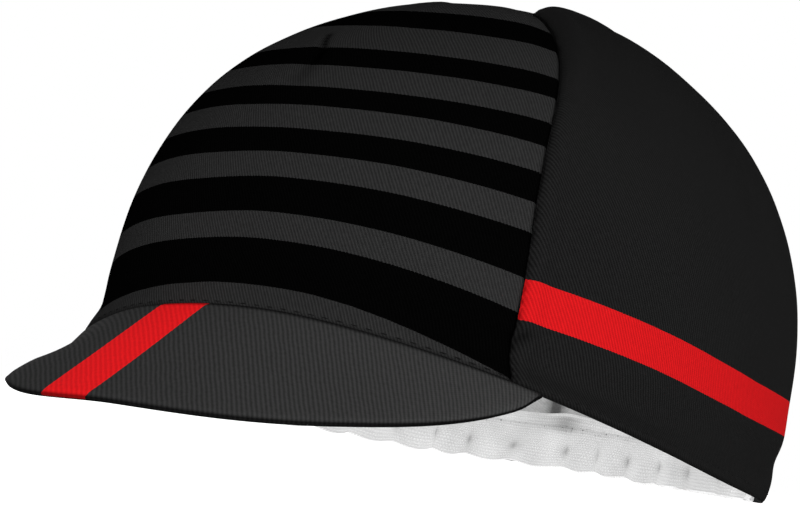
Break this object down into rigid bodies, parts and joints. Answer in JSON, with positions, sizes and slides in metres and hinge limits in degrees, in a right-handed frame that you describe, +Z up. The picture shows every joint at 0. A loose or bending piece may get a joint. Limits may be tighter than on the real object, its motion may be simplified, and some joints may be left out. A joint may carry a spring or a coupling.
{
  "type": "cycling cap",
  "caption": "Soft cycling cap: a panelled cloth crown, a short stiff peak and a gathered knit sweatband inside the rim.",
  "frame": {"origin": "centre of the cap's footprint, on the surface that it rests on", "axes": "+Z up, +X to the wearer's left, the peak towards -Y"},
  "size_m": [0.1544, 0.2546, 0.1172],
  "materials": {
    "striped_twill": "printed cotton twill, dark grey with black stripes",
    "black_twill": "cotton twill, off-black with one red stripe",
    "grey_twill": "cotton twill, dark grey with one red stripe",
    "under_black": "plain black cotton",
    "white_knit": "white elastic knit"
  },
  "bodies": {
    "root": {"center_panel": "striped_twill", "left_side_panel": "black_twill", "right_side_panel": "black_twill", "peak_upper": "grey_twill", "peak_under": "under_black", "sweatband": "white_knit"}
  },
  "joints": []
}
